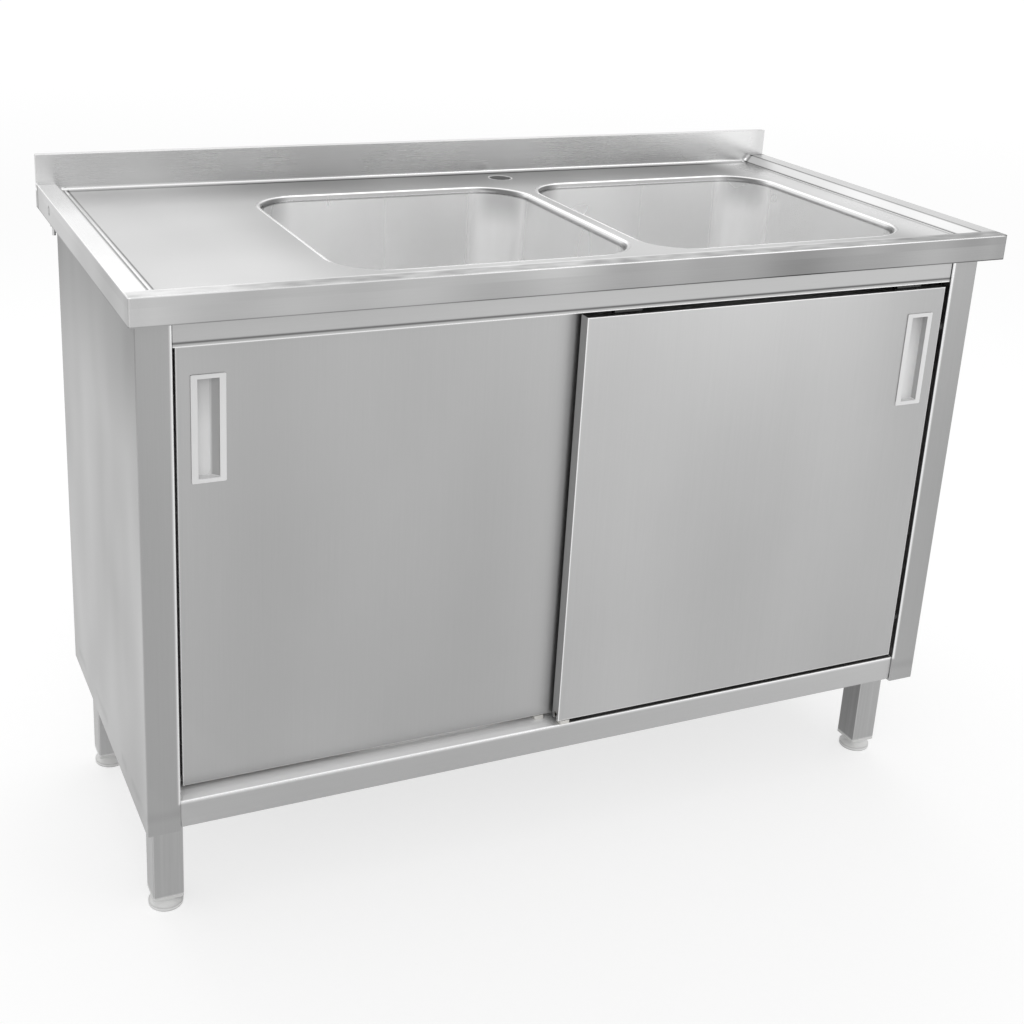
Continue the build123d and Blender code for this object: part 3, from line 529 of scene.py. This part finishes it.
def foot_material():
    """Nylon below and zinc plating on the stem. Painted shade darkens the lower edges, and the foot is
    darker where it meets the floor, mottled by dirt.
    """
    material, nodes = new_material("foot_nylon_and_stem")
    point = nodes.place()
    z = nodes.axes(point)[2]
    pores = nodes.stretched_noise(point, (650.0, 650.0, 650.0), 2.0)
    dirt = nodes.stretched_noise(point, (55.0, 55.0, 90.0), 3.0, (2.0, 2.0, 5.0))
    # Darker at the floor, mottled by dirt; the edge lines below are painted shade.
    ground = (1 - z.rise(0.0, 0.004)) * dirt
    stem = z.rise(0.0128, 0.0132)
    edge = z.bump(0.0046, 0.0012) + 1 - z.rise(0.0004, 0.0016)
    nylon = nodes.blend(ground * 0.8 + dirt * 0.12 + edge * 0.40,
                        (0.90, 0.90, 0.895, 1), (0.32, 0.32, 0.31, 1))
    plating = nodes.blend(pores, grey(0.50), grey(0.62))
    rough = 0.36 + 0.1 * pores + 0.15 * ground - 0.06 * stem
    nodes.surface({"Base Color": nodes.blend(stem, nylon, plating), "Metallic": stem, "Roughness": rough},
                  pores, 0.00004)
    return material


foot_nylon = foot_material()
for place in leg_places:
    dress(f"foot_{place}", foot_nylon)


def thread_tree(name, material):
    nodes, (_, radius, ridge, turns, height, foot) = growing_tree(
        name, ("Radius", "Ridge", "Turns", "Height", "Foot"))
    helix = nodes.node("GeometryNodeCurveSpiral", None,
                       {"Resolution": 20, "Rotations": turns, "Start Radius": radius, "End Radius": radius,
                        "Height": height})
    upright = nodes.node("GeometryNodeSetCurveNormal", {"mode": "Z_UP"}, {"Curve": helix})
    section = nodes.node("GeometryNodeCurvePrimitiveCircle", None, {"Resolution": 5, "Radius": ridge})
    ridges = nodes.node("GeometryNodeCurveToMesh", None,
                        {"Curve": upright, "Profile Curve": section, "Fill Caps": True})
    placed = nodes.node("GeometryNodeTransform", None, {"Geometry": ridges, "Translation": foot})
    return end_tree(nodes, placed, material)


stem_thread = thread_tree("stem_thread", turned_steel("stem_zinc", 0.56, 0.3, 700.0))
for place, (x, y) in leg_places.items():
    thread = grow(f"foot_thread_{place}", stem_thread,
                  {"Radius": 0.0048, "Ridge": 0.0003, "Turns": 29.0, "Height": 0.0435,
                   "Foot": (x, y, 0.0145)})
    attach(thread, f"foot_{place}_screw")


# ---- Worktop
# One sheet of stainless steel with a raised rim, a stepped-down draining surface, a folded
# upstand at the back and a hemmed apron all round. It is brushed from end to end, and its welded
# corners are ground smooth, which leaves a cross-hatched patch at each.

half_length, half_depth = 0.6, 0.3
rim_level, deck_level, upstand_y = 0.850, 0.838, 0.2865
bowls_middle_x, tap_y = 0.0915, 0.248
stud_y, stud_z = 0.191, 0.8335


def distance(first, second):
    """How far a point is from where first and second are both 0."""
    return (first * first + second * second) ** 0.5


def corner_grinding(nodes, x, y, z):
    ends = abs(x).bump(0.592, 0.022) * (y.bump(-0.292, 0.022) + y.bump(0.292, 0.022))
    hatch = nodes.stretched_noise(nodes.place(), (300.0, 300.0, 300.0), 3.0)
    return ends * (0.4 + 0.9 * hatch)


def rim_highlights_and_shade(nodes, x, y, z):
    """Painted highlights on the flat rim, its folds, the upstand's foot and the ring round the tap hole,
    painted reflections on the upstand and the apron, and painted shade on the apron, in the slope
    inside the rim and in its creases. The draining surface is darker beside the bowls.
    """
    from_edge = (half_length - abs(x)).least(y + half_depth)
    before_upstand = 1 - y.rise(upstand_y - 0.0003, upstand_y + 0.0003)
    on_upstand = 1 - before_upstand
    front_rim = 1 - y.rise(-0.282, -0.270)
    right_rim = x.rise(0.40, 0.585)
    painted_sheen = nodes.stretched_noise(nodes.place(), (4.2, 3.4, 0.6), 1.0, (2.6, 9.0, 1.0)) - 0.5
    rubs = nodes.stretched_noise(nodes.place(), (26.0, 60.0, 1.0), 2.0, (4.0, 2.0, 1.0)) - 0.5
    # glow is a soft painted reflection on the draining surface.
    glow = nodes.stretched_noise(nodes.place(), (5.5, 2.4, 1.0), 1.0, (7.3, 1.2, 3.0)) - 0.5

    # the flat rim, painted bright and darker along the front and right, and the slope, painted darker
    at_rim = z.rise(rim_level - 0.0006, rim_level - 0.0003)
    at_rim = at_rim * (1 - z.rise(rim_level + 0.0003, rim_level + 0.0006))
    painted_front_shade = front_rim * (1.2 + 1.15 * x.rise(-0.56, -0.40) - 1.8 * rubs)
    rim = at_rim * before_upstand * (1.5 - painted_front_shade - right_rim * (1 - front_rim) * 1.3)
    at_slope = from_edge.rise(0.0264, 0.0270) * (1 - from_edge.rise(0.0345, 0.0352)) * before_upstand
    at_slope = at_slope * z.rise(deck_level + 0.0002, deck_level + 0.0008) * (1 - z.rise(0.8490, 0.8494))
    slope = at_slope * (0.7 * right_rim - 0.5)

    # the upstand, painted lighter with reflections, a painted highlight along its foot and painted shade
    # before it
    bright_foot = on_upstand * z.bump(0.8415, 0.0030) * 2.2
    dark_foot = y.bump(0.2810, 0.0048) * before_upstand * 1.1
    upstand = on_upstand * z.rise(0.8405, 0.8425) * (0.6 + 1.6 * painted_sheen)

    # the apron, painted with reflections, shade and light at the left, and painted lines on its folds
    apron = 1 - z.rise(0.8478, 0.8486)
    left_light = 1 - x.rise(-0.60, -0.12)
    front_apron = apron * (1 - y.rise(-0.2992, -0.2985)) * (2.2 * painted_sheen - 0.76 + 0.88 * left_light)
    side_apron = apron * abs(x).rise(0.5985, 0.5992) * (2.4 * painted_sheen - 0.3)
    upper_fold = from_edge.bump(0.0006, 0.0012) * z.bump(0.8492, 0.0012) * (2.2 - 3.6 * x.rise(0.590, 0.596))
    lower_fold = z.bump(0.8166, 0.0014) * 0.9

    # the draining surface: painted shade and highlights on the step and round the tap hole, darker beside the
    # bowls
    creases = from_edge.bump(0.0256, 0.0020) + from_edge.bump(0.0356, 0.0018) + from_edge.bump(0.0424, 0.0020)
    slope_foot = from_edge.bump(0.0388, 0.0020)
    tap_ring = distance(x - bowls_middle_x, y - tap_y).bump(0.0178, 0.0018) * 2.2
    top_side = z.rise(deck_level - 0.0008, deck_level - 0.0004) * before_upstand
    lines = (slope_foot * 1.9 - creases * 1.5 + tap_ring + glow * 0.9) * top_side
    beside_bowls = x.rise(-0.44, -0.27) * (1 - x.rise(0.470, 0.545) * 2.1)
    deck = z.bump(deck_level, 0.0006) * from_edge.rise(0.0352, 0.0362) * before_upstand
    darker_deck = deck * beside_bowls * (0.55 + 0.35 * y.rise(0.15, 0.22))
    return (rim + slope + lines - darker_deck + bright_foot - dark_foot + upstand
            + front_apron + side_apron + upper_fold - lower_fold)


def apron_marks(nodes, x, y, z):
    """The ground corners, and the round print of the bonding stud's weld on the left apron."""
    from_stud = distance(y - stud_y, z - stud_z)
    left_apron = 1 - x.rise(-0.5996, -0.599)
    stud_print = from_stud.bump(0.0052, 0.0026) * 5.0 + from_stud.bump(0.0, 0.0022) * 4.0
    return corner_grinding(nodes, x, y, z) + left_apron * stud_print


top_sheet = steel("worktop_sheet_brushed", "X", 0.52, 0.33, 5.5, apron_marks, rim_highlights_and_shade)
dress("worktop", top_sheet)


# ---- Bowls
# Two square bowls pressed from one sheet each, with round corners and a dished waste seat. They
# are set into the worktop by a fine weld that is ground flush. They are satin finished round and
# round, so finely that the grain along the walls barely shows.

bowls_y, bowl_half_pitch = -0.0135, 0.215
left_bowl_x, right_bowl_x = bowls_middle_x - bowl_half_pitch, bowls_middle_x + bowl_half_pitch
corner_centre = 0.138
corner_radius, floor_radius, wall_slope = 0.062, 0.028, 0.0262


def from_corner_centres(x, y):
    """How far a point lies beyond the centres of a bowl's round corners, along each axis."""
    across = abs(abs(x - bowls_middle_x) - bowl_half_pitch) - corner_centre
    along = abs(y - bowls_y) - corner_centre
    return across.most(0.0), along.most(0.0)


def bowl_outside(x, y, z):
    """1 on the outer face of a bowl, from how far a point lies beyond the inner face."""
    round_corner = distance(*from_corner_centres(x, y))
    beyond_wall = (round_corner + wall_slope * (deck_level - z) - corner_radius + floor_radius).most(0.0)
    below_floor = (0.616 - z).most(0.0)
    beyond = distance(beyond_wall, below_floor) - floor_radius
    from_waste = distance(abs(x - bowls_middle_x) - bowl_half_pitch, y - bowls_y)
    return beyond.rise(0.0004, 0.0008) * (1 - z.rise(0.8270, 0.8285)) * from_waste.rise(0.0435, 0.0445)


def bowl_material():
    """Bright satin walls with a matt share and painted highlights that stand in for light, strongest in
    the right rear corner and on the left. Painted shade darkens the upper corners and the lip's fillet
    under a painted highlight line. The walls are darker towards the bottom, and the outer face is duller."""
    material, nodes = new_material("bowl_sheet_pressed")
    point = nodes.place()
    x, y, z = nodes.axes(point)
    rounds = nodes.stretched_noise(point, (5.0, 5.0, 1400.0), 2.0, (1.0, 2.0, 3.0), 0.5)
    swirls = nodes.stretched_noise(point, (900.0, 900.0, 60.0), 2.0, (4.0, 2.0, 3.0), 0.6)
    clouds = nodes.stretched_noise(point, (9.0, 9.0, 6.0), 1.0, (2.0, 1.0, 7.0), 0.55)
    spots = nodes.stretched_noise(point, (34.0, 34.0, 20.0), 2.0, (8.0, 1.0, 2.0)).rise(0.5, 0.7)
    across, along = from_corner_centres(x, y)
    painted_corner_shade = (across * along).rise(0.0001, 0.0019) * z.rise(0.775, 0.822)
    floor = 1 - z.rise(0.590, 0.602)
    water = spots * floor
    strokes = rounds * (1 - floor) + swirls * floor
    in_left_bowl = 1 - x.rise(bowls_middle_x - 0.0001, bowls_middle_x + 0.0001)
    from_middle = x - right_bowl_x + 2 * bowl_half_pitch * in_left_bowl
    # Painted bright zones in the right rear corner and on the left.
    right_rear = from_middle.rise(0.128, 0.150) * (y - bowls_y).rise(0.128, 0.150)
    painted_bright_zones = right_rear.most((1 - from_middle.rise(-0.17, 0.07)) * 0.75)
    in_lip = z.rise(0.8285, 0.8310)
    # Painted shade in the lip's fillet and a painted highlight line along its top.
    lip = in_lip * 0.5 - z.bump(0.8376, 0.0012) * 0.4
    outside = bowl_outside(x, y, z)
    shade = 0.94 + 0.01 * strokes + 0.04 * clouds + 0.06 * painted_bright_zones - 0.04 * water - lip - 0.34 * painted_corner_shade
    shade = shade * (1 - 0.56 * outside) * (0.74 + 0.26 * z.rise(0.585, 0.650))
    rough = 0.22 + 0.08 * clouds + 0.05 * water + 0.2 * outside
    painted_light_share = (0.22 + 0.28 * painted_bright_zones) * (1 - 0.4 * floor) * (1 - outside) * (1 - in_lip)
    nodes.surface({"Base Color": nodes.toned(1.0, shade), "Metallic": 1 - painted_light_share, "Roughness": rough})
    return material


bowl_sheet = bowl_material()
for side in ("left", "right"):
    dress(f"bowl_{side}", bowl_sheet)


# ---- Drainer board
# A strip of moisture-proof chipboard glued up under the draining surface so that it doesn't
# drum. Only its underside shows, from inside the cabinet.

def chipboard():
    material, nodes = new_material("board_chips")
    point = nodes.place()
    warped = nodes.node("ShaderNodeVectorMath", {"operation": "MULTIPLY"},
                        {0: point, 1: (150.0, 260.0, 200.0)})
    in_chip, chip_colour = nodes.node("ShaderNodeTexVoronoi", {"feature": "F1"},
                                      {"Vector": warped, "Scale": 1.0}, out=("Distance", "Color"))
    grain = nodes.stretched_noise(point, (90.0, 900.0, 400.0), 3.0)
    hue = nodes.axes(chip_colour)[0]
    base = nodes.blend(hue, (0.42, 0.29, 0.16, 1), (0.58, 0.44, 0.28, 1))
    colour = nodes.blend(grain * 0.5 + in_chip * 0.3, base, (0.27, 0.17, 0.09, 1))
    nodes.surface({"Base Color": colour, "Roughness": 0.75}, in_chip + grain * 0.4, 0.0003)
    return material


dress("drainer_board", chipboard())


# ---- Wastes
# Each bowl drains through a polished strainer that one screw pulls down onto a rubber ring and a
# moulded tailpiece below. The tailpiece has a thread at its end for the trap.

strainer_steel = turned_steel("strainer_polished", 0.68, 0.14, 300.0)


def rubber(name):
    """Black rubber, greyed by dust."""
    tone = 0.03
    material, nodes = new_material(name)
    point = nodes.place()
    dust_and_shade = nodes.stretched_noise(point, (80.0, 80.0, 80.0), 4.0)
    grain = nodes.stretched_noise(point, (1400.0, 1400.0, 1400.0), 1.0, (1.0, 1.0, 1.0))
    colour = nodes.blend(dust_and_shade * 0.6, grey(tone), grey(tone * 2.2))
    nodes.surface({"Base Color": colour, "Roughness": 0.62 + 0.15 * grain}, grain, 0.00005)
    return material


black_rubber = rubber("black_rubber")
tail_plastic = moulded("tail_polypropylene", (0.66, 0.66, 0.65, 1), (0.50, 0.50, 0.49, 1), 0.38)
for side in ("left", "right"):
    dress(f"waste_flange_{side}", strainer_steel)
    dress(f"waste_gasket_{side}", black_rubber)
    dress(f"waste_tail_{side}", tail_plastic)
tail_thread = thread_tree("tail_thread", tail_plastic)
for side, x in (("left", left_bowl_x), ("right", right_bowl_x)):
    thread = grow(f"tail_thread_{side}", tail_thread,
                  {"Radius": 0.0239, "Ridge": 0.0007, "Turns": 11.0, "Height": 0.0253,
                   "Foot": (x, bowls_y, 0.5226)})
    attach(thread, "cabinet")


# ---- Doors
# Each sliding door is a shallow tray of brushed steel over a cardboard honeycomb, closed by a
# flat back sheet. The front is brushed from top to bottom, with painted highlights on its folded
# edges and painted shade on the right part of the unit's front. The left door's front has a lower
# tone than the right's as painted shade. The cardboard keeps the big flat sheet from drumming.

def door_highlights_and_shade(low, high):
    """Painted highlights on the folded edges of one door, and painted shade on the right part of the unit's
    front.
    """
    top_fold, bottom_fold, reach = 0.7718, 0.197, 0.0022

    def polish_and_painted_light(nodes, x, y, z):
        edges = x.bump(low.x, reach) + x.bump(high.x, reach)
        edges = edges + z.bump(top_fold, reach) + z.bump(bottom_fold, reach)
        return y.bump(low.y, 0.0014) * edges * 2.2 - 0.36 * x.rise(0.30, 0.56)
    return polish_and_painted_light


def cardboard():
    material, nodes = new_material("honeycomb_cardboard")
    point = nodes.place()
    flutes = nodes.node("ShaderNodeTexWave", {"wave_type": "BANDS", "bands_direction": "X"},
                        {"Vector": point, "Scale": 140.0, "Distortion": 0.6, "Detail": 2.0})
    fibres = nodes.stretched_noise(point, (200.0, 200.0, 900.0), 4.0)
    colour = nodes.blend(flutes * 0.5 + fibres * 0.4, (0.44, 0.30, 0.17, 1), (0.24, 0.15, 0.08, 1))
    nodes.surface({"Base Color": colour, "Roughness": 0.85}, flutes + fibres * 0.5, 0.0003)
    return material


core_card = cardboard()
door_back_sheet = steel("door_back_sheet", "Z", 0.46, 0.40, 3.8)
inset, short_of_corner = 0.012, 0.04
row_foot, row_top = 0.215, 0.755
# The left front's lower tone is painted shade: both fronts are the same steel.
for side, seed, tone in (("left", 7.6, 0.44), ("right", 2.3, 0.50)):
    low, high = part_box(f"door_{side}_front")
    dress(f"door_{side}_front",
          steel(f"door_sheet_{side}", "Z", tone, 0.38, seed, None, door_highlights_and_shade(low, high)))
    dress(f"door_{side}_back", door_back_sheet)
    dress(f"door_{side}_core", core_card)
    rows = [((x, high.y, row_foot), (x, high.y, row_top)) for x in (low.x + inset, high.x - inset)]
    rows += [((low.x + short_of_corner, high.y, z), (high.x - short_of_corner, high.y, z))
             for z in (0.2065, 0.7605)]
    welds = grow(f"door_{side}_spot_welds", spot_welds,
                 {"Pitch": 0.09, "Radius": 0.0023, "Rim": 0.0002}, rows, [behind] * len(rows))
    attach(welds, f"sliding_door_{side}")


# ---- Door pulls
# Recessed finger pulls of light grey plastic, pressed into a slot in each door. One side of the
# recess is a ramp that the fingers slide down.

def pull_material(name, face, middle):
    """Moulded grain. The recess gets painted shade on its walls, most at its top and round its mouth,
    but not on its floor."""
    material, nodes = new_material(name)
    point = nodes.place()
    _, y, z = nodes.axes(point)
    pores = nodes.stretched_noise(point, (900.0, 900.0, 900.0), 2.0)
    flow = nodes.stretched_noise(point, (18.0, 18.0, 9.0), 2.0, (1.0, 4.0, 2.0))
    depth = y - face
    above_floor = z.rise(middle - 0.0610, middle - 0.0600)
    in_recess = depth.rise(0.0002, 0.0012)
    walls = in_recess * (1 - depth.rise(0.0070, 0.0099)) * 0.75
    mouth = depth.rise(-0.0012, -0.0008) * (1 - depth.rise(0.0014, 0.0022)) * 0.8
    top = in_recess * z.rise(middle - 0.01, middle + 0.065) * 0.45
    painted_recess_shade = walls.most(mouth).most(top) * above_floor
    tint = nodes.blend(flow * 0.3 + pores * 0.1, grey(0.84), grey(0.74))
    nodes.surface({"Base Color": nodes.blend(painted_recess_shade, tint, grey(0.34)),
                   "Roughness": 0.33 + 0.12 * pores}, pores, 0.00003)
    return material


for side in ("left", "right"):
    low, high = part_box(f"pull_{side}")
    door_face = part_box(f"door_{side}_front")[0].y
    dress(f"pull_{side}", pull_material(f"pull_plastic_{side}", door_face, (low.z + high.z) / 2))


# ---- Hangers and rollers
# Each door hangs from two bent steel brackets with a nylon roller on each, which runs in its
# track. The brackets are toned near black as painted shade, so that they sink into the gap above the doors.

hanger_steel = steel("hanger_steel", "Z", 0.06, 0.42, 2.2)
roller_nylon = moulded("roller_nylon", (0.70, 0.69, 0.65, 1), (0.42, 0.41, 0.38, 1), 0.35)
for side in ("left", "right"):
    dress(f"hangers_{side}", hanger_steel)
    for count in (1, 2):
        dress(f"roller_{side}_{count}", roller_nylon)


# ---- Door guides, stops and buffers
# Nylon fins screwed to the shelf keep the doors' lower edges in line. Track stops and rubber
# buttons on the posts end their travel without a knock.

guide_nylon = moulded("guide_nylon", (0.76, 0.75, 0.72, 1), (0.56, 0.55, 0.52, 1), 0.4)
dress("guide_left_door", guide_nylon)
dress("guide_right_door", guide_nylon)
dress("track_stops", moulded("stop_nylon", (0.10, 0.10, 0.10, 1), (0.05, 0.05, 0.05, 1), 0.45))
dress("door_buffers", rubber("buffer_rubber"))


# ---- Floor and background
# A wide pale floor that fades into the white background. The unit's soft shadow stays on it. The
# floor and the sky look brighter to the camera and in mirrors than the light that they give.

def seen_rays(nodes):
    """1 for rays from the camera, a mirror or glass, and 0 for those that light the unit."""
    camera_ray, glossy_ray, glass_ray = nodes.node(
        "ShaderNodeLightPath", out=("Is Camera Ray", "Is Glossy Ray", "Is Transmission Ray"))
    return nodes.node("ShaderNodeClamp", None, {"Value": camera_ray + glossy_ray + glass_ray})


def make_floor():
    floor_mesh = bpy.data.meshes.new("studio_floor")
    reach = 30.0
    corners = [(-reach, -reach, 0), (reach, -reach, 0), (reach, reach, 0), (-reach, reach, 0)]
    floor_mesh.from_pydata(corners, [], [(0, 1, 2, 3)])
    floor = bpy.data.objects.new("studio_floor", floor_mesh)
    bpy.context.scene.collection.objects.link(floor)
    material, nodes = new_material("studio_floor_white")
    matt = nodes.node("ShaderNodeBsdfDiffuse", None, {"Color": grey(0.8)})
    paper = nodes.node("ShaderNodeBsdfDiffuse", None, {"Color": grey(0.42)})
    x, y, _ = nodes.axes(nodes.place())
    far = distance(x, y).rise(2.0, 9.0)
    glow = nodes.node("ShaderNodeEmission", None, {"Color": nodes.blend(far, grey(0.64), grey(0.70))})
    bright = nodes.node("ShaderNodeAddShader", None, {0: paper, 1: glow})
    whole = nodes.node("ShaderNodeMixShader", None, {0: seen_rays(nodes), 1: matt, 2: bright})
    nodes.node("ShaderNodeOutputMaterial", None, {"Surface": whole}, out=None)
    floor_mesh.materials.append(material)


make_floor()

world = bpy.data.worlds.new("studio_white")
bpy.context.scene.world = world
world.use_nodes = True
world.node_tree.nodes.clear()
sky = Nodes(world.node_tree)
sky_strength = 0.75 + 0.25 * seen_rays(sky)
sky_light = sky.node("ShaderNodeBackground", None, {"Color": grey(1.0), "Strength": sky_strength})
sky.node("ShaderNodeOutputWorld", None, {"Surface": sky_light}, out=None)


# ---- Lamps
# Four soft boxes: a large one overhead and behind, which the steel tops mirror, a large one in
# front, and two small low ones that light the doors and the left side.

def soft_box(name, place, target, size, glow):
    """A rectangular lamp whose face is glow times as bright as white paper."""
    lamp = bpy.data.lights.new(name, "AREA")
    lamp.shape = "RECTANGLE"
    lamp.size, lamp.size_y = size
    lamp.energy = glow * math.pi * size[0] * size[1]
    light = bpy.data.objects.new(name, lamp)
    light.location = place
    light.rotation_euler = (Vector(target) - Vector(place)).to_track_quat("-Z", "Y").to_euler()
    light.visible_camera = False
    bpy.context.scene.collection.objects.link(light)


soft_box("overhead_box", (0.2, 1.5, 2.4), (0.0, 0.0, 0.8), (3.4, 2.0), 0.75)
soft_box("front_box", (-1.6, -3.6, 3.0), (0.0, 0.0, 0.5), (3.4, 2.4), 0.9)
soft_box("low_right_box", (1.5, -2.3, 0.8), (0.1, -0.26, 0.5), (1.4, 1.2), 0.9)
soft_box("low_left_box", (-2.6, -0.6, 0.6), (-0.6, 0.0, 0.4), (1.0, 0.9), 0.7)


# ---- Camera
# Stands to the left of the unit, a little above it, and looks down along the worktop. Its shift
# is a small part of the lens shift that the photo seems to have.

camera_data = bpy.data.cameras.new("camera")
camera = bpy.data.objects.new("camera", camera_data)
camera.location = (-0.9204, -1.8521, 1.3088)
camera.rotation_euler = Euler([math.radians(angle) for angle in (70.619, -2.555, -23.719)])
camera_data.lens = 53.69
camera_data.sensor_width = 36.0
camera_data.shift_x = 0.05
camera_data.shift_y = -0.12
camera_data.clip_start = 0.05
camera_data.clip_end = 100.0
camera_data.dof.use_dof = False
bpy.context.scene.collection.objects.link(camera)
bpy.context.scene.camera = camera

bpy.context.scene.view_settings.view_transform = "Standard"
